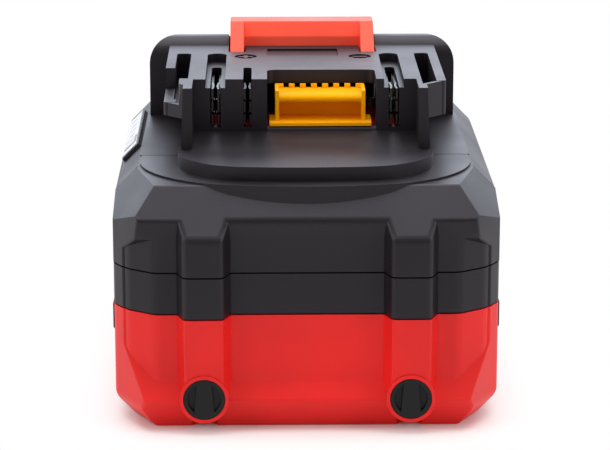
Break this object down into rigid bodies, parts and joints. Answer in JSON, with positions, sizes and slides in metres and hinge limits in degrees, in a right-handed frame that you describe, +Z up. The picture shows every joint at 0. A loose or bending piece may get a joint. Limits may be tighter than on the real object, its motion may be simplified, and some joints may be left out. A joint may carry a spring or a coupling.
{
  "type": "power tool battery pack",
  "caption": "Slide-on rechargeable battery pack for cordless power tools: ribbed black and red case, slide rails, terminal slots, sprung release latch and a charge gauge.",
  "frame": {"origin": "centre of the foot, on the surface the pack stands on", "axes": "+Z up, -Y towards the terminal end, +X to the right seen from the terminal end"},
  "size_m": [0.0766, 0.1152, 0.0686],
  "materials": {
    "case_black": "fine moulded texture, satin",
    "case_red": "fine moulded texture, satin",
    "latch_red": "smooth satin",
    "plug_black": "smooth satin",
    "connector_yellow": "semi-gloss",
    "contact_metal": "plated",
    "gauge_grey": "smooth satin",
    "gauge_key": "matt",
    "gauge_lamp": "clear lens",
    "board_red": "solder mask",
    "board_green": "solder mask",
    "chip_black": "moulded",
    "capacitor_grey": "sleeved",
    "steel": "zinc plated",
    "nickel": "bright strip",
    "cell_wrap": "shrink wrap",
    "ring_white": "card",
    "holder_white": "moulded",
    "insulator_green": "fibre sheet",
    "foam_grey": "foam"
  },
  "bodies": {
    "latch": {"release_latch": "latch_red"},
    "gauge_key": {"gauge_button": "gauge_key"},
    "pack": {"bottom_cup": "case_red", "middle_band": "case_black", "upper_housing": "case_black", "latch_springs": "steel", "terminal_positive": "contact_metal", "terminal_negative": "contact_metal", "terminal_signal": "contact_metal", "connector_block": "connector_yellow", "connector_pins": "contact_metal", "control_board": "board_red", "board_chips": "chip_black", "board_capacitors": "capacitor_grey", "board_screws": "steel", "board_tray": "holder_white", "thermistor": "chip_black", "cell_holder_left": "holder_white", "cell_holder_right": "holder_white", "cell_rings": "ring_white", "lead_positive": "nickel", "lead_negative": "nickel", "insulator_left": "insulator_green", "insulator_right": "insulator_green", "end_pads": "foam_grey", "floor_pads": "foam_grey", "case_screws": "steel", "plug_front_left": "plug_black", "plug_front_right": "plug_black", "plug_rear_left": "plug_black", "plug_rear_right": "plug_black", "gauge_panel": "case_black", "gauge_face": "gauge_grey", "gauge_board": "board_green", "gauge_leds": "gauge_lamp", "gauge_dome": "steel", "cell_01": "cell_wrap", "cell_02": "cell_wrap", "cell_03": "cell_wrap", "cell_04": "cell_wrap", "cell_05": "cell_wrap", "cell_06": "cell_wrap", "cell_07": "cell_wrap", "cell_08": "cell_wrap", "cell_09": "cell_wrap", "cell_10": "cell_wrap", "bus_1": "nickel", "bus_2": "nickel", "bus_3": "nickel", "bus_4": "nickel", "bus_5": "nickel", "bus_6": "nickel"}
  },
  "joints": [
    {"name": "latch_slide", "type": "slide", "parent": "pack", "child": "latch", "axis": [0, 0, -1], "range_m": [0, 0.0056], "stiffness_N_per_m": 1200, "springref_m": -0.004, "deforming": ["latch_springs"]},
    {"name": "gauge_press", "type": "slide", "parent": "pack", "child": "gauge_key", "axis": [0.7071, 0, -0.7071], "range_m": [0, 0.00035], "stiffness_N_per_m": 1500, "springref_m": -0.0005}
  ]
}
